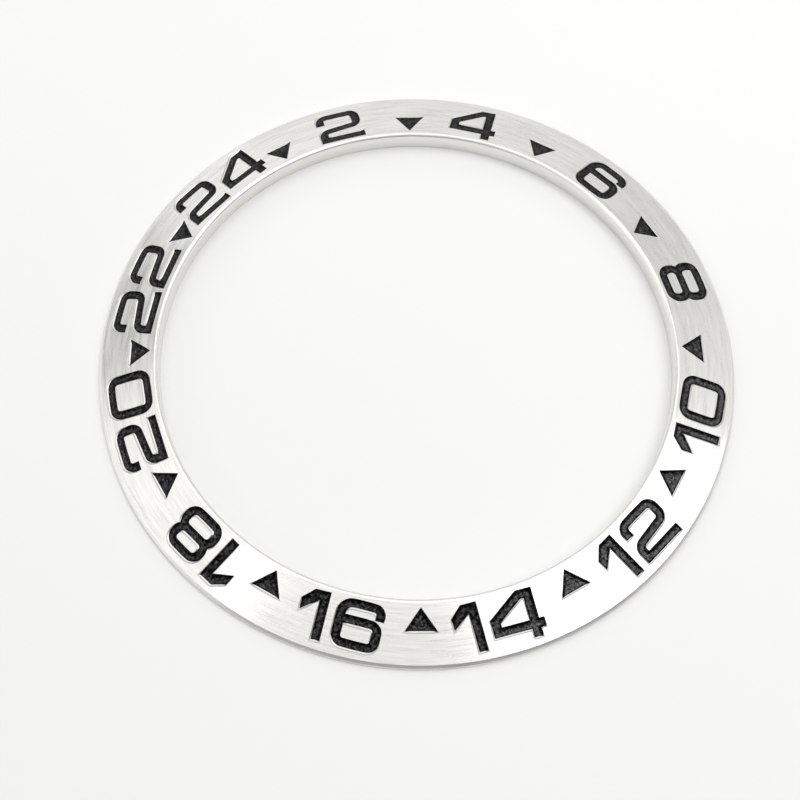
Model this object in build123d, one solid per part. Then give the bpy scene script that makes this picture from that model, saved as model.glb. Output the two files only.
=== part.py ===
from build123d import *
import os
from math import cos, radians, sin, tan

# Insert ring of a rotating 24-hour watch bezel, in millimetres.
# The origin is the ring's centre on its flat back. +Z leaves the lettered face and +Y
# points at hour 24. Hours run clockwise as seen from above, 15 degrees apart.

# Steel ring, with its widths measured outwards from the bore
INNER_RADIUS = 15.35
INNER_MARGIN = 0.44
NUMERAL_BAND = 2.56
OUTER_MARGIN = 0.5
CHAMFER_WIDTH = 0.15
RIM_HEIGHT = 0.25
CHAMFER_RISE = 0.15
FACE_SLOPE = 13.5
INNER_EDGE_ROUND = 0.2

# Engraved pockets, with depths measured square to the sloping face
POCKET_DEPTH = 0.16
LACQUER_RECESS = 0.08
POCKET_WALL_ANGLE = 45
CUT_OVERRUN = 0.02

# Strokes of the digits at the surface of the lacquer. Corners are on a stroke's inner side.
STROKE = 0.43
PEN_CORNER = 0.2
SHOULDER_CORNER = 0.4
HOOK_CORNER = 0.17
ZERO_CORNER = 0.25
TWO_TAIL = 0.27
SIX_TAIL = 0.2
FOUR_STUB = 0.3
EIGHT_SHOULDER = 0.06

# Triangles at the surface of the lacquer
TRIANGLE_RISE = 1.15
TRIANGLE_TIP_MARGIN = 0.13

# Twenty-four hours share the circle, with a numeral on each even one
HOURS_PER_TURN = 24
FIRST_INWARD_HOUR = 8
LAST_INWARD_HOUR = 16
FAN_ANGLES = {20: 4, 22: 4.5, 24: 1.7}

# Sizes along the circle, as shares of the distance between two hours
WIDTH_SHARES = {"0": 0.61, "1": 0.322, "2": 0.622, "4": 0.638, "6": 0.584, "8": 0.577}
DIGIT_GAP_SHARE = 0.13
TRIANGLE_WIDTH_SHARE = 0.37
NUMERAL_SHIFT_SHARES = {2: -0.036, 4: -0.05, 8: 0.03, 12: 0.02, 14: -0.045, 18: -0.045, 24: -0.03}

FACE_EDGE_RADIUS = INNER_RADIUS + INNER_MARGIN + NUMERAL_BAND + OUTER_MARGIN
FACE_EDGE_HEIGHT = RIM_HEIGHT + CHAMFER_RISE
OUTER_RADIUS = FACE_EDGE_RADIUS + CHAMFER_WIDTH
DIGIT_HEIGHT = NUMERAL_BAND / cos(radians(FACE_SLOPE))
DIGIT_CENTRE_RADIUS = INNER_RADIUS + INNER_MARGIN + NUMERAL_BAND / 2
TRIANGLE_BASE_RADIUS = INNER_RADIUS + INNER_MARGIN + TRIANGLE_TIP_MARGIN + TRIANGLE_RISE
TRIANGLE_HEIGHT = TRIANGLE_RISE / cos(radians(FACE_SLOPE))
HOUR_ANGLE = 360 / HOURS_PER_TURN
HOUR_PITCH = DIGIT_CENTRE_RADIUS * radians(HOUR_ANGLE)


def face_height(radius):
    """Height of the sloping face at a distance from the axis."""
    return FACE_EDGE_HEIGHT + (FACE_EDGE_RADIUS - radius) * tan(radians(FACE_SLOPE))


def blank_ring():
    """The turned ring before engraving: one section spun about the axis."""
    section = FilletPolyline(
        (INNER_RADIUS, 0, 0),
        (OUTER_RADIUS, 0, 0),
        (OUTER_RADIUS, 0, RIM_HEIGHT),
        (FACE_EDGE_RADIUS, 0, FACE_EDGE_HEIGHT),
        (INNER_RADIUS, 0, face_height(INNER_RADIUS)),
        radius=[0, 0, 0, 0, INNER_EDGE_ROUND],
        close=True,
    )
    return revolve(make_face(section), axis=Axis.Z)


def pen(points, corners, grow):
    """A stroke of even width along straight runs, grown alike at its sides and ends.

    Each corner is the radius on the inner side of the bend.
    """
    first, second = Vector(*points[0]), Vector(*points[1])
    before, last = Vector(*points[-2]), Vector(*points[-1])
    start = first + (first - second).normalized() * grow
    end = last + (last - before).normalized() * grow
    radii = [corner + STROKE / 2 for corner in corners]
    path = FilletPolyline(start, *points[1:-1], end, radius=radii)
    return trace(path, STROKE + 2 * grow)


def bar(length, height, grow):
    """A straight stroke with square ends, grown on every side."""
    return Rectangle(length + 2 * grow, height + 2 * grow)


def loop(width, height, corner, grow):
    """A rounded rectangle drawn in one closed stroke, measured over its outside."""
    edge = STROKE + grow
    hole = RectangleRounded(width - 2 * edge, height - 2 * edge, corner - grow)
    return RectangleRounded(width + 2 * grow, height + 2 * grow, corner + edge) - hole


def grown(outline, grow):
    """A straight-sided outline with every side moved out by the same amount."""
    return offset(outline, grow, kind=Kind.INTERSECTION) if grow else outline


def zero(width, height, grow):
    """One rounded loop."""
    return [loop(width, height, ZERO_CORNER, grow)]


def one(width, height, grow):
    """An upright stem with a slanting flag, whose end is cut upright."""
    flag_top_share, flag_upper_share, flag_lower_share, crook_share = 0.44, 0.775, 0.56, 0.845
    outline = Polygon(
        (width, 0),
        (width, height),
        (flag_top_share * width, height),
        (0, flag_upper_share * height),
        (0, flag_lower_share * height),
        (width - STROKE, crook_share * height),
        (width - STROKE, 0),
        align=None,
    )
    return [Pos(-width / 2, -height / 2) * grown(outline, grow)]


def two(width, height, grow):
    """A hook over the top, a middle bar that rises to the right, and a straight foot."""
    right_share, left_share = -0.02, -0.115
    x = (width - STROKE) / 2
    y = (height - STROKE) / 2
    points = [
        (-x, y - STROKE / 2 - PEN_CORNER - TWO_TAIL),
        (-x, y),
        (x, y),
        (x, right_share * height),
        (-x, left_share * height),
        (-x, -y),
    ]
    return [pen(points, [PEN_CORNER] * 4, grow), Pos(0, -y) * bar(width, STROKE, grow)]


def four(width, height, grow):
    """A flag with a crossbar, and a stem that runs down through the crossbar."""
    bar_share, corner_share, outer_top_share, inner_top_share = -0.24, 0.037, 0.105, 0.16
    left, inner_left = -width / 2, STROKE - width / 2
    top, inner_top = height / 2, height / 2 - STROKE
    bar_y = bar_share * height
    stem_x = (width - STROKE) / 2 - FOUR_STUB
    crossbar = Pos(0, bar_y) * bar(width, STROKE, grow)
    stem = Pos(stem_x, 0) * bar(STROKE, height, grow)
    flag = Polygon(
        (stem_x, top),
        (outer_top_share * width, top),
        (left, corner_share * height),
        (left, bar_y - STROKE / 2),
        (inner_left, bar_y - STROKE / 2),
        (inner_left, corner_share * height - STROKE / 2),
        (inner_top_share * width, inner_top),
        (stem_x, inner_top),
        align=None,
    )
    return [crossbar, stem, grown(flag, grow)]


def six(width, height, grow):
    """A bowl closed on itself, with a stem that hooks over it to the right."""
    bowl_share, bowl_end_share, stem_start_share = 0.155, -0.14, -0.2
    x = (width - STROKE) / 2
    y = (height - STROKE) / 2
    bowl_y = bowl_share * height - STROKE / 2
    hook_y = y - STROKE / 2 - HOOK_CORNER - SIX_TAIL
    bowl = [(-x, bowl_y), (x, bowl_y), (x, -y), (-x, -y), (-x, bowl_end_share * height)]
    stem = [(-x, stem_start_share * height), (-x, y), (x, y), (x, hook_y)]
    return [
        pen(bowl, [PEN_CORNER] * 3, grow),
        pen(stem, [SHOULDER_CORNER, HOOK_CORNER], grow),
    ]


def eight(width, height, grow):
    """Two bowls that share one stroke at the waist, the upper one a little narrower."""
    lower_share, corner_share = 0.595, 0.4
    lower = lower_share * height
    upper = height + STROKE - lower
    corner = corner_share * (upper - 2 * STROKE)
    return [
        Pos(0, (lower - height) / 2) * loop(width, lower, corner, grow),
        Pos(0, (height - upper) / 2) * loop(width - 2 * EIGHT_SHOULDER, upper, corner, grow),
    ]


def triangle(width, height, grow):
    """A triangle with its base up and its tip down, hung from the middle of its base."""
    outline = Polygon((width / 2, 0), (-width / 2, 0), (0, -height), align=None)
    return [grown(outline, grow)]


DIGITS = {"0": zero, "1": one, "2": two, "4": four, "6": six, "8": eight}


def touching_plane(across, out, bearing, inward, turn):
    """The plane that touches the face at a place in a numeral's own layout.

    The place lies a distance out from the axis along the numeral's bearing, and a distance
    across it in the reading direction. The plane's Z leaves the face, its X follows the
    reading direction and turn swings it on the face, anticlockwise from above.
    """
    radial = Vector(sin(radians(bearing)), cos(radians(bearing)), 0)
    reading = Vector(radial.Y, -radial.X, 0) * (-1 if inward else 1)
    place = radial * out + reading * across
    outward = place.normalized()
    normal = outward * sin(radians(FACE_SLOPE)) + Vector(0, 0, cos(radians(FACE_SLOPE)))
    origin = place + Vector(0, 0, face_height(place.length))
    return Plane(origin, x_dir=reading.rotate(Axis.Z, turn), z_dir=normal)


def tapered(mark, low, high):
    """A mark's strokes between two heights off the face, as wide there as its pocket."""
    shape, width, height = mark
    lean = tan(radians(POCKET_WALL_ANGLE))
    levels = [
        [Pos(0, 0, level) * stroke for stroke in shape(width, height, grow)]
        for level, grow in ((z, (z + LACQUER_RECESS) * lean) for z in (low, high))
    ]
    return Part() + [loft([below, above], ruled=True) for below, above in zip(*levels)]


def digit_places(hour):
    """Each digit of an hour: its node's name, its outline and its plane on the face."""
    digits = str(hour)
    inward = FIRST_INWARD_HOUR <= hour <= LAST_INWARD_HOUR
    sides = ["digit"] if len(digits) == 1 else ["left_digit", "right_digit"]
    widths = [WIDTH_SHARES[digit] * HOUR_PITCH for digit in digits]
    gap = DIGIT_GAP_SHARE * HOUR_PITCH
    shift = NUMERAL_SHIFT_SHARES.get(hour, 0) * HOUR_PITCH
    start = -(sum(widths) + gap * (len(digits) - 1)) / 2
    for digit, side, width in zip(digits, sides, widths):
        across = start + width / 2
        fan = FAN_ANGLES.get(hour, 0)
        turn = -fan if across > 0 else fan
        bearing = hour * HOUR_ANGLE
        plane = touching_plane(across + shift, DIGIT_CENTRE_RADIUS, bearing, inward, turn)
        yield f"hour_{hour:02d}_{side}", (DIGITS[digit], width, DIGIT_HEIGHT), plane
        start += width + gap


def marks():
    """Every engraved mark: its node's name, its outline and its plane on the face."""
    for hour in range(1, HOURS_PER_TURN + 1):
        if hour % 2:
            plane = touching_plane(0, TRIANGLE_BASE_RADIUS, hour * HOUR_ANGLE, False, 0)
            mark = (triangle, TRIANGLE_WIDTH_SHARE * HOUR_PITCH, TRIANGLE_HEIGHT)
            yield f"hour_{hour:02d}_triangle", mark, plane
        else:
            yield from digit_places(hour)


os.makedirs("parts", exist_ok=True)
cutters = []
for name, mark, plane in marks():
    cutters.append(plane * tapered(mark, -POCKET_DEPTH, CUT_OVERRUN))
    filling = plane * tapered(mark, -POCKET_DEPTH, -LACQUER_RECESS)
    export_step(filling, f"parts/{name}.step")
export_step(blank_ring() - cutters, "parts/insert_ring.step")
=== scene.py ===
from math import asin, cos, radians, sin, tan

import bpy
import numpy as np
from mathutils import Matrix, Vector
from mathutils.geometry import delaunay_2d_cdt


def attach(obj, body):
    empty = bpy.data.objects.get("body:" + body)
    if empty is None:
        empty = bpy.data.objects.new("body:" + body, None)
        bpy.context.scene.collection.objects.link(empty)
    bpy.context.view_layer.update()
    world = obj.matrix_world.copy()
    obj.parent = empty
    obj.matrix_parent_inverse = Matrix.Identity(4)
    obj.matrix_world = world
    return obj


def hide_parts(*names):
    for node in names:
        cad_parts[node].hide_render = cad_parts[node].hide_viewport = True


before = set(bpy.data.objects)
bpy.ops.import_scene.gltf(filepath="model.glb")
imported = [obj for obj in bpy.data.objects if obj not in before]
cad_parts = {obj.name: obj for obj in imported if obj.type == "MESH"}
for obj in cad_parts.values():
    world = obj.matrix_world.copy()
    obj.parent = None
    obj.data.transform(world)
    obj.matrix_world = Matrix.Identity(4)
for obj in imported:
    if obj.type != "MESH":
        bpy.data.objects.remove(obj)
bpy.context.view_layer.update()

# The camera looks down on the ring from the side of hours 14 to 16, as the photograph does.
# Its place is worked out from the ring's rims and the marks on its face. Every length in this
# file is in metres, apart from the pixels and the sensor's millimetres here.
camera_bearing = radians(-42.103)
camera_height = radians(65.222)
camera_roll = radians(-3.017)
camera_distance = 0.076712
nearest_seen = 0.001
aim_x, aim_y = -0.005072, 0.001046
focal_px = 1289.0
centre_left_px = 57.4
frame_px = 800
sensor_mm = 36.0

camera_data = bpy.data.cameras.new("studio_camera")
camera_data.sensor_width = sensor_mm
camera_data.lens = focal_px / frame_px * sensor_mm
camera_data.shift_x = centre_left_px / frame_px
camera_data.clip_start = nearest_seen
camera = bpy.data.objects.new("studio_camera", camera_data)
bpy.context.scene.collection.objects.link(camera)
towards_camera = Vector((
    sin(camera_bearing) * cos(camera_height),
    -cos(camera_bearing) * cos(camera_height),
    sin(camera_height),
))
level_right = Vector((cos(camera_bearing), sin(camera_bearing), 0))
level_up = towards_camera.cross(level_right)
rolled_right = cos(camera_roll) * level_right + sin(camera_roll) * level_up
rolled_up = towards_camera.cross(rolled_right)
turned_to_ring = Matrix((rolled_right, rolled_up, towards_camera)).transposed()
camera.matrix_world = Matrix.Translation(
    Vector((aim_x, aim_y, 0)) + towards_camera * camera_distance
) @ turned_to_ring.to_4x4()
bpy.context.scene.camera = camera

# Insert ring: one thin steel ring, turned on a lathe. Its face slopes down to the rim and is
# brushed round the axis. The marks are pressed into the face as pockets with sloping walls,
# and along their bare sides the metal stands up in a fine burr.
bore_radius = 0.01535
rim_radius = 0.019
rim_height = 0.00025
face_edge_radius = 0.01885
face_edge_height = 0.0004
face_slope = radians(13.5)
bore_round = 0.0002
bore_round_steps = 12
arris_round = 0.00003
arris_round_steps = 4
pocket_depth = 0.00016
lacquer_recess = 0.00008
ring_steps = 720
ring_bearings = np.arange(ring_steps) * 2 * np.pi / ring_steps
mm = 1000.0


def cone_height(x, y):
    """Height of the sloping face: it falls in a straight line from the bore to the rim."""
    return face_edge_height + (face_edge_radius - np.hypot(x, y)) * tan(face_slope)


def rounded(corner, before, after, radius, steps):
    """A round in place of a section's corner: an arc that touches both of its sides.

    The tangent length is the radius over the tangent of half the corner. The arc's points
    are its centre plus the radius at evenly spaced angles.
    """
    corner, before, after = (np.array(p, float) for p in (corner, before, after))
    to_before = (before - corner) / np.linalg.norm(before - corner)
    to_after = (after - corner) / np.linalg.norm(after - corner)
    half = asin(np.linalg.norm(to_before - to_after) / 2)
    bisector = (to_before + to_after) / np.linalg.norm(to_before + to_after)
    centre = corner + bisector * radius / sin(half)
    start = corner + to_before * radius / tan(half) - centre
    end = corner + to_after * radius / tan(half) - centre
    share = np.linspace(0, 1, steps + 1)[:, None]
    sweep = np.pi - 2 * half
    arc = (np.sin((1 - share) * sweep) * start + np.sin(share * sweep) * end) / np.sin(sweep)
    return centre + arc


def turned_surface(section):
    """A section spun about Z: x is radius times sine, y is radius times cosine, z is height.

    The section runs so that the metal lies on its left.
    """
    radius, height = np.asarray(section, float).T
    points = np.stack([
        np.outer(radius, np.sin(ring_bearings)),
        np.outer(radius, np.cos(ring_bearings)),
        np.repeat(height[:, None], ring_steps, axis=1),
    ], -1).reshape(-1, 3)
    row = np.arange(len(radius) - 1)[:, None] * ring_steps
    here = np.arange(ring_steps)[None, :]
    on = (here + 1) % ring_steps
    quads = np.stack([row + here, row + ring_steps + here, row + ring_steps + on, row + on], -1)
    return points, quads.reshape(-1, 4)


def within(points, after, places):
    """Which places lie inside an outline: those with an odd number of its sides to one side.

    A side counts when its ends are above and below the place and it crosses right of it.
    """
    ahead = points[after]
    above, above_ahead = points[:, 1] > places[:, None, 1], ahead[:, 1] > places[:, None, 1]
    rise = np.where(ahead[:, 1] == points[:, 1], 1, ahead[:, 1] - points[:, 1])
    lean = (ahead[:, 0] - points[:, 0]) / rise
    crossing = points[:, 0] + lean * (places[:, None, 1] - points[:, 1])
    return ((above != above_ahead) & (places[:, None, 0] < crossing)).sum(1) % 2 == 1


def triangles_between(flat, edges):
    """Delaunay triangles of points in a plane that keep to the edges given, and their middles.

    Points are in millimetres while it works.
    """
    merging_distance = 0.00001
    corners, _, faces, *_ = delaunay_2d_cdt(
        [Vector(p) for p in (flat * mm).tolist()], edges.tolist(), [], 0, merging_distance
    )
    corners = np.array([tuple(c) for c in corners]) / mm
    faces = np.array(faces)
    a, b, c = (corners[faces[:, k]] for k in range(3))
    turn = (b - a)[:, 0] * (c - a)[:, 1] - (b - a)[:, 1] * (c - a)[:, 0]
    faces[turn < 0] = faces[turn < 0][:, ::-1]
    return corners, faces, (a + b + c) / 3


def kept_part(corners, faces):
    """The points that the faces use, and the faces renumbered to them."""
    used, renamed = np.unique(faces, return_inverse=True)
    return corners[used], renamed.reshape(faces.shape)


def filled(points, after, inner):
    """A flat patch inside an outline, through the inner points as they fall."""
    sides = np.stack([np.arange(len(after)), after], 1)
    corners, faces, middles = triangles_between(np.concatenate([points, inner]), sides)
    return kept_part(corners, faces[within(points, after, middles)])


def read(items, what, width=1, kind=float):
    """What the vertices, edges, corners or faces of a mesh hold, as one array."""
    values = np.zeros(len(items) * width, kind)
    items.foreach_get(what, values)
    return values.reshape(-1, width) if width > 1 else values


# A filling's flat top is told from its sloping sides by how far its normals rise.
least_upward = 0.93


def outline(node):
    """A filling's outline, read from its flat top, in the plane of that top.

    The top is the part whose triangles look up. Its border edges are used by one triangle
    only, and run with the lacquer on their left.
    """
    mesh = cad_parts[node].data
    places, same = np.unique(read(mesh.vertices, "co", 3).round(8), axis=0, return_inverse=True)
    triangles = same.reshape(-1)[read(mesh.loops, "vertex_index", 1, int)].reshape(-1, 3)
    a, b, c = (places[triangles[:, k]] for k in range(3))
    normals = np.cross(b - a, c - a)
    looks_up = normals[:, 2] > least_upward * np.linalg.norm(normals, axis=1)
    top = triangles[looks_up]
    normal = normals[looks_up].sum(0)
    normal /= np.linalg.norm(normal)
    sides = np.concatenate([top[:, [0, 1]], top[:, [1, 2]], top[:, [2, 0]]])
    names = sides[:, 0] * len(places) + sides[:, 1]
    border = sides[~np.isin(names, sides[:, 1] * len(places) + sides[:, 0])]
    level = np.cross((0, 0, 1), normal)
    level /= np.linalg.norm(level)
    origin = places[border[:, 0]].mean(0)
    plane = np.stack([level, np.cross(normal, level), normal])
    flat = ((places - origin) @ plane.T)[:, :2]
    return {"origin": origin, "plane": plane, "flat": flat, "border": border}


# Turns of an outline: those along its arcs are small, those at its corners are larger.
most_turn_in_arc = radians(40)
least_turn_at_corner = radians(20)


def split(mark, step, reach):
    """The outline's points in short runs, and the number of the point that follows each one.

    Where two small turns follow each other the border is an arc, and the added points bulge
    by half a side times the tangent of a quarter of the turn. Points nearer than the reach to
    a corner that turns right are left out, so that the outline can be moved out by that much
    without crossing itself.
    """
    flat, border = mark["flat"], mark["border"]
    following = np.zeros(len(flat), int)
    following[border[:, 0]] = border[:, 1]
    leading = np.zeros(len(flat), int)
    leading[border[:, 1]] = border[:, 0]
    start, end = flat[border[:, 0]], flat[border[:, 1]]
    length = np.linalg.norm(end - start, axis=1)
    heading = (end - start) / length[:, None]

    def turn(here):
        into = flat[here] - flat[leading[here]]
        out = flat[following[here]] - flat[here]
        across = into[:, 0] * out[:, 1] - into[:, 1] * out[:, 0]
        return np.arctan2(across, (into * out).sum(1))

    first, last = turn(border[:, 0]), turn(border[:, 1])
    most_turn = np.maximum(np.abs(first), np.abs(last))
    gentle = (most_turn < most_turn_in_arc) & (first * last > 0)
    bend = np.where(gentle, most_turn * np.sign(first), 0)
    bulge = length / 2 * np.tan(bend / 4)
    runs = np.maximum(np.ceil(length / step).astype(int), 1)
    side = np.repeat(np.arange(len(border)), runs)
    first_run = np.cumsum(runs) - runs
    share = (np.arange(len(side)) - first_run[side]) / runs[side]
    right = np.stack([heading[:, 1], -heading[:, 0]], 1)
    points = start[side] + (end - start)[side] * share[:, None]
    points = points + right[side] * (bulge[side] * 4 * share * (1 - share))[:, None]
    begins = np.zeros(len(flat), int)
    begins[border[:, 0]] = first_run
    after = np.arange(len(side)) + 1
    after[first_run + runs - 1] = begins[border[:, 1]]
    walked = share * length[side]
    past_corner = (first[side] < -least_turn_at_corner) & (walked > 0) & (walked < reach)
    left = length[side] - walked
    before_corner = (last[side] < -least_turn_at_corner) & (walked > 0) & (left < reach)
    kept = ~(past_corner | before_corner)
    while not kept[after].all():
        after = np.where(kept[after], after, after[after])
    return points[kept], (np.cumsum(kept) - 1)[after[kept]]


def outward(points, after):
    """Each point's two sides' outward directions added up, one plus the cosine between them,
    and the number of the point before it."""
    before = np.zeros(len(points), int)
    before[after] = np.arange(len(points))
    heading = points[after] - points
    heading /= np.linalg.norm(heading, axis=1)[:, None]
    out = np.stack([heading[:, 1], -heading[:, 0]], 1)
    return out + out[before], 1 + (out * out[before]).sum(1), before


def grown(points, after, amount):
    """The outline moved out by an amount: each point goes along the sum of its two sides'
    outward directions, over one plus their cosine, so that both sides keep their distance."""
    both, spread, _ = outward(points, after)
    return points + np.broadcast_to(amount, len(points))[:, None] * both / spread[:, None]


def in_space(mark, points, height):
    """Points of a mark's plane in the ring's frame, raised by a height along its normal."""
    local = np.column_stack([points, np.broadcast_to(height, len(points))])
    return mark["origin"] + local @ mark["plane"]


def over_cone(mark, points, share, raised):
    """Points between the lacquer's plane and the sloping face, by their share of the way up,
    and then raised by a height."""
    low = in_space(mark, points, 0)
    rise = (cone_height(low[:, 0], low[:, 1]) - low[:, 2]) * mark["plane"][2, 2]
    return in_space(mark, points, rise * share + raised)


# The lacquer was wiped off from one side. The bareness of a wall is given for one that runs
# straight towards that side, and by how much it changes for walls that face it.
wiping_bearing = radians(272)
wiped_from = (sin(wiping_bearing), cos(wiping_bearing))
wiping_share = 0.8
bareness_across = 0.35
bareness_gain = 0.75
bareness_blend = 0.0001
rounds_per_step = 1.5


def bareness(mark, points, after):
    """How much of a pocket's wall is bare at each point, from none uphill to all of it on the
    downhill side and on the side that the lacquer was wiped from.

    It grows with the cosine between the outline's outward direction and the sum of the
    downhill direction and a share of the wiping direction, and is evened out along the
    outline: each round gives a point the mean of itself and its two neighbours.
    """
    both, _, before = outward(points, after)
    away = (both / np.linalg.norm(both, axis=1)[:, None]) @ mark["plane"][:2, :2]
    place = in_space(mark, points, 0)[:, :2]
    downhill = place / np.linalg.norm(place, axis=1)[:, None]
    bare_side = (downhill + wiping_share * np.array(wiped_from)) / (1 + wiping_share)
    bare = np.clip(bareness_across + bareness_gain * (away * bare_side).sum(1), 0, 1)
    step = np.median(np.linalg.norm(points[after] - points, axis=1))
    for _ in range(int(rounds_per_step * (bareness_blend / step) ** 2) + 1):
        bare = (bare + bare[after] + bare[before]) / 3
    return bare


# A pocket's wall, lip and foot each have a width uphill and a growth with bareness. Each
# point looks straight ahead for a wall that faces it. The tiny distance keeps it from seeing
# itself, and with nothing ahead it has far more room than it needs.
mouth_step = 0.00009
mouth_reach = 0.0002
wall_share, wall_growth = 0.75, 0.5
lip_width, lip_growth = 0.000006, 0.000016
foot_width, foot_growth = 0.00001, 0.000006
straight_ahead, looks_back = 0.75, -0.3
tiny_distance = 1e-12
nothing_ahead = 1
room_share = 0.38


def pocket_wall(mark, points, after):
    """The widths of a pocket's wall, lip and foot at each point, and its bareness.

    Where another part of the same outline lies straight ahead and looks back, their sum is
    kept to a share of the distance to it, and each point takes the least of its neighbours'.
    """
    bare = bareness(mark, points, after)
    wall = lacquer_recess * (wall_share + wall_growth * bare)
    lip = lip_width + lip_growth * bare
    foot = foot_width + foot_growth * bare
    both, _, before = outward(points, after)
    away = both / np.linalg.norm(both, axis=1)[:, None]
    across = points[None] - points[:, None]
    gap = np.linalg.norm(across, axis=2) + tiny_distance
    ahead = (across * away[:, None]).sum(2) > straight_ahead * gap
    room = np.where(ahead & (away @ away.T < looks_back), gap, nothing_ahead).min(1)
    share = np.minimum(room_share * room / (wall + lip + foot), 1)
    step = np.median(np.linalg.norm(points[after] - points, axis=1))
    for _ in range(int(np.ceil(mouth_reach / step))):
        share = np.minimum(np.minimum(share, share[after]), share[before])
    return wall * share, lip * share, foot * share, bare * share


def walls(rings, after):
    """Quads between rings of points that share one outline, each ring further in."""
    count = len(after)
    row = np.arange(len(rings) - 1)[:, None] * count
    here = np.arange(count)[None, :]
    below = row + count
    quads = np.stack([row + here, row + after[here], below + after[here], below + here], -1)
    return np.concatenate(rings), quads.reshape(-1, 4)


def joined(name, patches, crease):
    """One mesh of several patches, smooth but for edges that turn by more than the crease.

    Points that meet within a tenth of a micron become one.
    """
    points = np.concatenate([p for p, _ in patches])
    starts = np.cumsum([0] + [len(p) for p, _ in patches])
    tenths_of_micron = (points * mm * mm * 10).round()
    whole, same = np.unique(tenths_of_micron, axis=0, return_inverse=True)
    same = same.reshape(-1)
    places = np.zeros((len(whole), 3))
    places[same] = points
    faces = [face for start, (_, f) in zip(starts, patches) for face in same[f + start].tolist()]
    mesh = bpy.data.meshes.new(name)
    mesh.from_pydata(places.tolist(), [], faces)
    mesh.update()
    mesh.shade_smooth()
    mesh.set_sharp_from_angle(angle=crease)
    piece = bpy.data.objects.new(name, mesh)
    bpy.context.scene.collection.objects.link(piece)
    return piece


mark_nodes = sorted(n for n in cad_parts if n.startswith("hour_"))
marks = {node: outline(node) for node in mark_nodes}

bore_corner = (bore_radius, face_edge_height + (face_edge_radius - bore_radius) * tan(face_slope))
face_edge = (face_edge_radius, face_edge_height)
rim_top = (rim_radius, rim_height)
rim_foot = (rim_radius, 0)
bore_foot = (bore_radius, 0)
bore_arc = rounded(bore_corner, bore_foot, face_edge, bore_round, bore_round_steps)
edge_arc = rounded(face_edge, bore_corner, rim_top, arris_round, arris_round_steps)
side_section = np.concatenate([
    edge_arc,
    rounded(rim_top, face_edge, rim_foot, arris_round, arris_round_steps),
    rounded(rim_foot, rim_top, bore_foot, arris_round, arris_round_steps),
    rounded(bore_foot, rim_foot, bore_corner, arris_round, arris_round_steps),
    bore_arc,
])
patches = [turned_surface(side_section)]

# The face is a net of triangles between its two edges and the mouths of the pockets. Each
# pocket's wall comes down in rings, from the foot of the burr to the pocket's floor.
face_step = 0.00016
burr_height = 0.000012
floor_depth = lacquer_recess - pocket_depth
face_inner, face_outer = bore_arc[-1, 0], edge_arc[0, 0]
round_steps = np.arange(ring_steps)
round_edges = np.stack([round_steps, (round_steps + 1) % ring_steps], 1)
face_points = [
    np.stack([radius * np.sin(ring_bearings), radius * np.cos(ring_bearings)], 1)
    for radius in (face_outer, face_inner)
]
face_edges = [round_edges, round_edges + ring_steps]
face_count = 2 * ring_steps
mouths = []
radii = np.arange(face_inner + face_step, face_outer - face_step / 2, face_step)
lattice = np.stack([
    np.outer(radii, np.sin(ring_bearings)), np.outer(radii, np.cos(ring_bearings)),
], -1).reshape(-1, 2)
clear = np.ones(len(lattice), bool)
for node, mark in marks.items():
    points, after = split(mark, mouth_step, mouth_reach)
    wall, lip, foot, bare = pocket_wall(mark, points, after)
    burr = burr_height * bare
    wall_profile = {
        "burr_foot": (wall + lip + foot, 1, 0),
        "burr_flank": (wall + lip + foot / 2, 1, burr * 0.6),
        "burr_crest": (wall + lip, 1, burr),
        "lip_edge": (wall + lip * 0.3, 0.97, burr * 0.5),
        "lip_foot": (wall - lip * 0.2, 0.88, 0),
        "wall_middle": (wall * 0.72, 0.72 - 0.42 * bare, 0),
    }
    rings = [
        over_cone(mark, grown(points, after, out), share, raised)
        for out, share, raised in wall_profile.values()
    ]
    rings.append(in_space(mark, points, 0))
    floor_outline = grown(points, after, floor_depth)
    rings.append(in_space(mark, floor_outline, floor_depth))
    patches.append(walls(rings, after))
    floor_flat, floor_faces = filled(floor_outline, after, np.zeros((0, 2)))
    patches.append((in_space(mark, floor_flat, floor_depth), floor_faces))
    mouth = rings[0][:, :2]
    mouths.append((mouth, after))
    face_points.append(mouth)
    face_edges.append(np.stack([np.arange(len(after)), after], 1) + face_count)
    face_count += len(mouth)
    near = np.flatnonzero(
        ((lattice > mouth.min(0) - face_step) & (lattice < mouth.max(0) + face_step)).all(1)
    )
    gaps = np.linalg.norm(lattice[near][:, None] - mouth[None], axis=2).min(1)
    clear[near[gaps < face_step / 2]] = False
face_points.append(lattice[clear])
flat, faces, middles = triangles_between(np.concatenate(face_points), np.concatenate(face_edges))
metal = np.hypot(middles[:, 0], middles[:, 1]) > face_inner * cos(np.pi / ring_steps) ** 2
for mouth, after in mouths:
    near = np.flatnonzero(((middles > mouth.min(0)) & (middles < mouth.max(0))).all(1))
    metal[near[within(mouth, after, middles[near])]] = False
flat, faces = kept_part(flat, faces[metal])
patches.append((np.column_stack([flat, cone_height(flat[:, 0], flat[:, 1])]), faces))
ring_crease = radians(28)
ring = joined("brushed_ring", patches, ring_crease)

# The brushing follows the circle, so the ring carries a map whose first axis crosses the
# brush lines and whose second runs along them.
mesh = ring.data
places = read(mesh.vertices, "co", 3)
corners = read(mesh.loops, "vertex_index", 1, int)
centres = read(mesh.polygons, "center", 3)
totals = read(mesh.polygons, "loop_total", 1, int)
face_bearing = np.repeat(np.arctan2(centres[:, 0], centres[:, 1]), totals)
bearing = np.arctan2(places[corners, 0], places[corners, 1])
bearing = face_bearing + (bearing - face_bearing + np.pi) % (2 * np.pi) - np.pi
across = np.hypot(places[corners, 0], places[corners, 1]) + places[corners, 2] / 2
brush_map = mesh.uv_layers.new(name="brush")
brush_map.data.foreach_set("uv", np.stack([across * mm, bearing * rim_radius * mm], 1).ravel())

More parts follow.
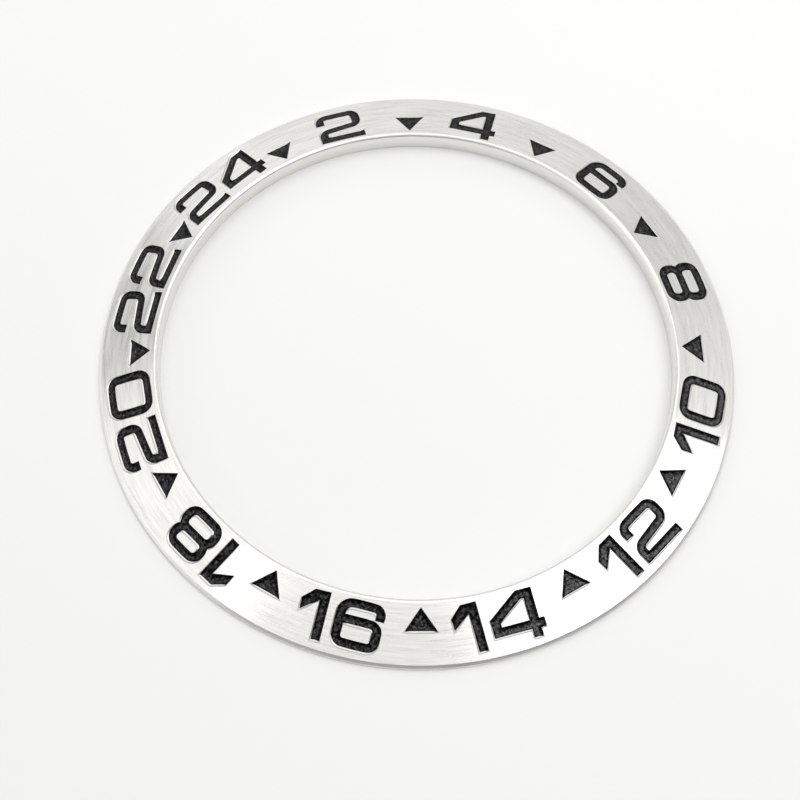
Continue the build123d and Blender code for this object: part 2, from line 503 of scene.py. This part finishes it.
# Where the face meets a pocket's lip the shading breaks, so that the tilt of the lip doesn't
# spread over the flat metal next to it.
face_patch = len(patches) - 1
edge_of_corner = read(mesh.loops, "edge_index", 1, int)
patch_of_face = np.repeat(np.arange(len(patches)), [len(f) for _, f in patches])
patch_of_corner = np.repeat(patch_of_face, totals)
first_patch = np.full(len(mesh.edges), len(patches))
np.minimum.at(first_patch, edge_of_corner, patch_of_corner)
last_patch = np.zeros(len(mesh.edges), int)
np.maximum.at(last_patch, edge_of_corner, patch_of_corner)
sharp = read(mesh.edges, "use_edge_sharp", 1, bool)
sharp |= (first_patch > 0) & (first_patch < face_patch) & (last_patch == face_patch)
mesh.edges.foreach_set("use_edge_sharp", sharp)


def feed(tree, node, terms):
    """Terms go to a node's inputs in their order: a socket as a link, a plain value as it is."""
    for entry, term in zip(node.inputs, terms):
        if isinstance(term, bpy.types.NodeSocket):
            tree.links.new(term, entry)
        else:
            entry.default_value = term


def number(tree, operation, *terms):
    """A number worked out from numbers, such as their sum."""
    node = tree.nodes.new("ShaderNodeMath")
    node.operation = operation
    feed(tree, node, terms)
    return node.outputs["Value"]


def vector(tree, operation, *terms):
    """A vector worked out from vectors, or a number where it is a length or a dot product."""
    node = tree.nodes.new("ShaderNodeVectorMath")
    node.operation = operation
    feed(tree, node, terms)
    return node.outputs["Value" if operation in ("LENGTH", "DOT_PRODUCT") else "Vector"]


def ranged(tree, value, start, end, low, high, course="LINEAR"):
    """A number that goes from low to high while a value goes from start to end."""
    node = tree.nodes.new("ShaderNodeMapRange")
    node.interpolation_type = course
    feed(tree, node, (value, start, end, low, high))
    return node.outputs["Result"]


def toned(tree, value, start, end, dark, light):
    """A colour that goes from dark to light while a value goes from start to end."""
    node = tree.nodes.new("ShaderNodeValToRGB")
    first, last = node.color_ramp.elements
    first.position, last.position = start, end
    first.color, last.color = (*dark, 1), (*light, 1)
    tree.links.new(value, node.inputs["Fac"])
    return node.outputs["Color"]


def cloudy(tree, place, scale, detail, roughness):
    """Soft noise at a place."""
    node = tree.nodes.new("ShaderNodeTexNoise")
    node.inputs["Scale"].default_value = scale
    node.inputs["Detail"].default_value = detail
    node.inputs["Roughness"].default_value = roughness
    tree.links.new(place, node.inputs["Vector"])
    return node.outputs["Fac"]


def rings_of_noise(tree, along, across):
    """Noise drawn out round the axis. Its point is the direction from the axis times a share
    along the circle, and the distance from the axis plus the height times a share across."""
    place = tree.nodes.new("ShaderNodeTexCoord").outputs["Object"]
    level = vector(tree, "MULTIPLY", place, (1, 1, 0))
    round_it = vector(tree, "MULTIPLY", vector(tree, "NORMALIZE", level), (along, along, along))
    parts = tree.nodes.new("ShaderNodeSeparateXYZ")
    tree.links.new(place, parts.inputs["Vector"])
    reach = number(tree, "ADD", vector(tree, "LENGTH", level), parts.outputs["Z"])
    up = tree.nodes.new("ShaderNodeCombineXYZ")
    tree.links.new(number(tree, "MULTIPLY", reach, across), up.inputs["Z"])
    point = vector(tree, "ADD", round_it, up.outputs["Vector"])
    return cloudy(tree, point, scale=1, detail=2, roughness=0.6)


def bumped(tree, height, strength, distance):
    """The surface's direction, bent by a height."""
    node = tree.nodes.new("ShaderNodeBump")
    node.inputs["Strength"].default_value = strength
    node.inputs["Distance"].default_value = distance
    tree.links.new(height, node.inputs["Height"])
    return node.outputs["Normal"]


# Brushed steel, on the face and the upper half of the bore's round: fine and coarse lines
# run round the axis, change its tone and gloss, and draw reflections out across them.
brush_streak = 0.9
brush_dark, brush_light = (0.65, 0.645, 0.625), (0.755, 0.75, 0.73)
darkest_line, lightest_line = 0.36, 0.6
glossiest_line, dullest_line = 0.3, 0.7
least_roughness, most_roughness = 0.24, 0.34
brush_bump, brush_depth = 0.6, 0.000008
brushed = bpy.data.materials.new("brushed_steel")
brushed.use_nodes = True
tree = brushed.node_tree
shader = tree.nodes["Principled BSDF"]
shader.inputs["Metallic"].default_value = 1
shader.inputs["Anisotropic"].default_value = brush_streak
along_brush = tree.nodes.new("ShaderNodeTangent")
along_brush.direction_type = "UV_MAP"
along_brush.uv_map = "brush"
tree.links.new(along_brush.outputs["Tangent"], shader.inputs["Tangent"])
fine_lines = rings_of_noise(tree, along=10, across=13000)
coarse_lines = rings_of_noise(tree, along=5, across=5000)
lines = number(tree, "ADD", fine_lines, coarse_lines)
mean_line = number(tree, "MULTIPLY", lines, 0.5)
steel_tone = toned(tree, mean_line, darkest_line, lightest_line, brush_dark, brush_light)
tree.links.new(steel_tone, shader.inputs["Base Color"])
gloss = (glossiest_line, dullest_line, least_roughness, most_roughness)
tree.links.new(ranged(tree, coarse_lines, *gloss), shader.inputs["Roughness"])
tree.links.new(bumped(tree, lines, brush_bump, brush_depth), shader.inputs["Normal"])

# Pressed steel, in the pockets: the same metal, dull and without the direction of the brush.
pressed_roughness = 0.5
pressed = brushed.copy()
pressed.name = "pressed_steel"
shader = pressed.node_tree.nodes["Principled BSDF"]
for socket in ("Roughness", "Tangent"):
    pressed.node_tree.links.remove(shader.inputs[socket].links[0])
shader.inputs["Anisotropic"].default_value = 0
shader.inputs["Roughness"].default_value = pressed_roughness

# Turned steel, on the bore, the back, the rim and the chamfer: brighter, with the fine
# grooves of the lathe.
turned_dark, turned_light = (0.82, 0.81, 0.79), (0.9, 0.895, 0.875)
darkest_groove, lightest_groove = 0.3, 0.6
turned_roughness = 0.42
groove_bump, groove_depth = 0.4, 0.000004
turned = bpy.data.materials.new("turned_steel")
turned.use_nodes = True
tree = turned.node_tree
shader = tree.nodes["Principled BSDF"]
shader.inputs["Metallic"].default_value = 1
shader.inputs["Roughness"].default_value = turned_roughness
grooves = rings_of_noise(tree, along=6, across=26000)
turned_tone = toned(tree, grooves, darkest_groove, lightest_groove, turned_dark, turned_light)
tree.links.new(turned_tone, shader.inputs["Base Color"])
tree.links.new(bumped(tree, grooves, groove_bump, groove_depth), shader.inputs["Normal"])

for steel in (brushed, turned, pressed):
    mesh.materials.append(steel)
on_brushed, on_turned, on_pressed = range(3)
turned_faces = (len(side_section) - len(bore_arc) // 2) * ring_steps
round_faces = len(patches[0][1]) - turned_faces
face_faces = len(patches[-1][1])
pocket_faces = len(mesh.polygons) - len(patches[0][1]) - face_faces
finish = np.repeat(
    [on_turned, on_brushed, on_pressed, on_brushed],
    [turned_faces, round_faces, pocket_faces, face_faces],
)
mesh.polygons.foreach_set("material_index", finish)
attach(ring, "root")
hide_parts("insert_ring")

# Black lacquer: each pocket is filled by hand with glossy lacquer that dries lumpy, sinks a
# little below the face and stays drawn up along the pocket's uphill walls. Along its border
# its colour and reflection are painted deep black, a painted shade, and it is glossier there.
# In the middle it is duller, and painted grey in a mottle, a painted sheen that is greyest
# round hour 12.
lacquer_step = 0.000034
lacquer_row_share = 0.87
lacquer_reach = 0.00013
edge_clearance = 0.6
uphill_climb = 0.95
climb_drop = 1.05
climb_fade = 0.0001
lump_height = 0.000015
lump_waves = 28
longest_lump, shortest_lump = 0.0004, 0.00009
draws = np.random.default_rng(24)
wave_length = np.geomspace(longest_lump, shortest_lump, lump_waves)
wave_heading = draws.uniform(0, 2 * np.pi, lump_waves)
wave_start = draws.uniform(0, 2 * np.pi, lump_waves)


def lumps(points):
    """Uneven lacquer: a sum of plane waves of many lengths and headings, the long ones taller."""
    heading = np.stack([np.cos(wave_heading), np.sin(wave_heading)])
    phase = points @ (heading * 2 * np.pi / wave_length) + wave_start
    weight = np.sqrt(wave_length / wave_length.mean())
    return (np.sin(phase) * weight).sum(1) / np.sqrt(lump_waves / 2)


def gap_to(points, after, places):
    """Distance from each place to the nearest side of an outline, and that side's number."""
    along = points[after] - points
    share = ((places[:, None] - points) * along).sum(2) / (along ** 2).sum(1)
    nearest = points + along * np.clip(share, 0, 1)[..., None]
    gaps = np.linalg.norm(places[:, None] - nearest, axis=2)
    return gaps.min(1), gaps.argmin(1)


# The painted shade along the border is widest uphill and narrows with bareness. Inside it,
# a mottle and the nearness to hour 12 say how dull the lacquer is and how much painted sheen
# it gets.
painted_shade_border = 0.000115
border_uphill, border_drop = 1.6, 1.2
border_fade = 0.00006
dull_and_sheen_uphill, dull_and_sheen_growth = 0.75, 0.5
lacquer_gloss = 0.75
mottle_scale, mottle_contrast, mottle_level = 6000, 2.8, -1.43
towards_twelve = (0.139 / rim_radius, -0.99 / rim_radius, 0)
greying_starts, greying_ends = 0.6, 0.85
plain_middle, grey_middle = 0.4, 0.95
painted_shade_tint, dull_and_sheen_tint = (0.03, 0.03, 0.03), (1, 1, 1)
painted_shade_black, dull_and_sheen_black = (0.0008, 0.0008, 0.001), (0.004, 0.004, 0.0045)
clean_roughness, dull_roughness = 0.08, 0.2
skin_bump, skin_depth = 0.6, 0.00009
lacquer = bpy.data.materials.new("black_lacquer")
lacquer.use_nodes = True
tree = lacquer.node_tree
shader = tree.nodes["Principled BSDF"]
shader.inputs["Specular IOR Level"].default_value = lacquer_gloss
place = tree.nodes.new("ShaderNodeTexCoord").outputs["Object"]
mottle = cloudy(tree, place, mottle_scale, detail=3, roughness=0.5)
in_middle = tree.nodes.new("ShaderNodeAttribute")
in_middle.attribute_name = "middle"
near_twelve = vector(tree, "DOT_PRODUCT", place, towards_twelve)
sheen_near_twelve = (greying_starts, greying_ends, plain_middle, grey_middle)
# Painted sheen: nearer hour 12 the middle is painted greyer, standing for the lamps' reflection
# there.
painted_sheen_near_twelve = ranged(tree, near_twelve, *sheen_near_twelve, "SMOOTHSTEP")
dull_and_sheen_middle = number(tree, "MULTIPLY_ADD", in_middle.outputs["Fac"], painted_sheen_near_twelve, mottle_level)
dull_and_sheen = number(tree, "MULTIPLY_ADD", mottle, mottle_contrast, dull_and_sheen_middle)
# Painted shade and sheen: reflection and colour are painted deep black along the border and grey
# in a mottle in the middle.
tree.links.new(toned(tree, dull_and_sheen, 0, 1, painted_shade_tint, dull_and_sheen_tint), shader.inputs["Specular Tint"])
tree.links.new(toned(tree, dull_and_sheen, 0, 1, painted_shade_black, dull_and_sheen_black), shader.inputs["Base Color"])
lacquer_roughness = ranged(tree, dull_and_sheen, 0, 1, clean_roughness, dull_roughness)
tree.links.new(lacquer_roughness, shader.inputs["Roughness"])
tree.links.new(bumped(tree, mottle, skin_bump, skin_depth), shader.inputs["Normal"])

lacquer_crease = radians(50)
for node, mark in marks.items():
    points, after = split(mark, lacquer_step, lacquer_reach)
    wall, _, _, bare = pocket_wall(mark, points, after)
    climb = uphill_climb - climb_drop * bare
    edge_height = climb * lacquer_recess
    edge = grown(points, after, climb * np.where(climb > 0, wall, lacquer_recess))
    low, high = points.min(0), points.max(0)
    columns = np.arange(low[0], high[0], lacquer_step)
    rows = np.arange(low[1], high[1], lacquer_step * lacquer_row_share)
    lattice = np.stack(np.meshgrid(columns, rows), -1)
    lattice[1::2, :, 0] += lacquer_step / 2
    lattice = lattice.reshape(-1, 2)
    lattice = lattice[within(edge, after, lattice)]
    lattice = lattice[gap_to(edge, after, lattice)[0] > lacquer_step * edge_clearance]
    flat, faces = filled(edge, after, lattice)
    gap, nearest = gap_to(edge, after, flat)
    drawn = np.exp(-gap / climb_fade)
    lumpy = lump_height * lumps(flat + mark["origin"][:2])
    height = edge_height[nearest] * drawn + lumpy * (1 - drawn)
    floor_outline = grown(points, after, floor_depth)
    floor_flat, floor_faces = filled(floor_outline, after, np.zeros((0, 2)))
    foot_ring = in_space(mark, floor_outline, floor_depth)
    edge_ring = in_space(mark, edge, edge_height)
    piece = joined(node.replace("hour", "lacquer"), [
        (in_space(mark, flat, height), faces),
        walls([foot_ring, edge_ring], after),
        (in_space(mark, floor_flat, floor_depth), floor_faces[:, ::-1]),
    ], lacquer_crease)
    local = (read(piece.data.vertices, "co", 3) - mark["origin"]) @ mark["plane"].T
    gap, nearest = gap_to(edge, after, local[:, :2])
    # The middle attribute is 0 in the painted shade along the border. It grows inside, where the
    # lacquer is duller and gets painted sheen.
    border_width = painted_shade_border * (border_uphill - border_drop * bare[nearest])
    inside = np.clip((gap - border_width) / border_fade + 0.5, 0, 1)
    middle = piece.data.attributes.new("middle", "FLOAT", "POINT")
    middle.data.foreach_set("value", inside * (dull_and_sheen_uphill + dull_and_sheen_growth * bare[nearest]))
    piece.data.materials.append(lacquer)
    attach(piece, "root")
    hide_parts(node)

# White table: a smooth sheet that the ring lies on. Its colour holds a painted shade, a little
# darker towards hours 17 and 18 and lighter towards the light.
# It is part of the studio. It reaches further to the right than to the left, which keeps the
# diagonal of its one face away from the ring.
table_half = 0.6
table_right = 0.9
paper_painted_dark, paper_painted_light = (0.76, 0.76, 0.749), (0.838, 0.838, 0.826)
paper_roughness = 0.8
paper_gloss = 0.1
painted_shade_place, painted_light_place = -0.036, 0.03
towards_light = (0.94, 0.33, 0)
table_mesh = bpy.data.meshes.new("white_table")
table_mesh.from_pydata(
    [(-table_half, -table_half, 0), (table_right, -table_half, 0),
     (table_right, table_half, 0), (-table_half, table_half, 0)],
    [], [(0, 1, 2, 3)],
)
table_top = bpy.data.objects.new("white_table", table_mesh)
bpy.context.scene.collection.objects.link(table_top)
paper = bpy.data.materials.new("white_paper")
paper.use_nodes = True
tree = paper.node_tree
shader = tree.nodes["Principled BSDF"]
place = tree.nodes.new("ShaderNodeTexCoord").outputs["Object"]
# Painted shade and light: the paper's colour goes from dark to light along the direction towards
# the light.
nearness_to_light = vector(tree, "DOT_PRODUCT", place, towards_light)
painted_lightness = ranged(tree, nearness_to_light, painted_shade_place, painted_light_place, 0, 1)
painted_paper_tone = toned(tree, painted_lightness, 0, 1, paper_painted_dark, paper_painted_light)
tree.links.new(painted_paper_tone, shader.inputs["Base Color"])
shader.inputs["Roughness"].default_value = paper_roughness
shader.inputs["Specular IOR Level"].default_value = paper_gloss
table_mesh.materials.append(paper)

# Soft studio light: a round softbox high over the far side, a stronger one over the right
# side and a small spot from the left. Each is given by its degrees off the zenith, bearing
# and half angle as the ring sees it, and its radiance. A disc's power is its radiance times
# pi times its area.
lamps = {
    "main_softbox": (17, 29, 24, 1.06),
    "right_softbox": (25, 136, 18, 2.8),
    "left_spot": (33, 285, 5, 2.8),
}
lamp_distance = 0.6
for name, (off_zenith, bearing, half_angle, radiance) in lamps.items():
    data = bpy.data.lights.new(name, "AREA")
    data.shape = "DISK"
    data.size = 2 * lamp_distance * tan(radians(half_angle))
    data.energy = radiance * np.pi * np.pi * data.size ** 2 / 4
    lamp = bpy.data.objects.new(name, data)
    bpy.context.scene.collection.objects.link(lamp)
    lean, turn_to = radians(off_zenith), radians(bearing)
    aim = Vector((sin(lean) * sin(turn_to), sin(lean) * cos(turn_to), cos(lean)))
    lamp.location = aim * lamp_distance
    lamp.rotation_euler = aim.to_track_quat("Z", "Y").to_euler()

# Pale room: dark at the skirting, palest at the wall and a little dimmer at the ceiling. The
# photographer and two gaps between the lamps darken it, a wall and the near ceiling lighten
# it. Each is given by its degrees off the zenith, bearing, half width and change of tone.
room_patches = {
    "photographer": (84, 214, 94, -0.72),
    "right_gap": (42, 76, 11, -1.0),
    "far_gap": (54, 357, 19, -0.8),
    "left_wall": (80, 307, 40, 0.7),
    "near_ceiling": (10, 228, 28, 0.22),
}
skirting_tone, wall_tone, ceiling_tone, darkest_tone = 0.1, 1.15, 0.86, 0.05
skirting_top, wall_foot, ceiling_edge = 0.06, 0.42, 0.85
room = bpy.data.worlds.new("pale_room")
bpy.context.scene.world = room
room.use_nodes = True
tree = room.node_tree
backdrop = tree.nodes["Background"]
ray = tree.nodes.new("ShaderNodeTexCoord").outputs["Generated"]


def soft_step(direction, start, full, start_tone, full_tone):
    """A soft step of the room's tone, by the cosine between a ray and a direction."""
    facing = vector(tree, "DOT_PRODUCT", ray, direction)
    return ranged(tree, facing, start, full, start_tone, full_tone, "SMOOTHSTEP")


tone = soft_step((0, 0, 1), skirting_top, wall_foot, skirting_tone, wall_tone)
changes = [soft_step((0, 0, 1), wall_foot, ceiling_edge, 0, ceiling_tone - wall_tone)]
for off_zenith, bearing, half_width, change in room_patches.values():
    lean, turn_to = radians(off_zenith), radians(bearing)
    direction = (sin(lean) * sin(turn_to), sin(lean) * cos(turn_to), cos(lean))
    changes.append(soft_step(direction, cos(radians(half_width)), 1, 0, change))
for change in changes:
    tone = number(tree, "ADD", tone, change)
tree.links.new(number(tree, "MAXIMUM", tone, darkest_tone), backdrop.inputs["Strength"])
backdrop.inputs["Color"].default_value = (1, 1, 1, 1)

bpy.context.scene.view_settings.view_transform = "Standard"
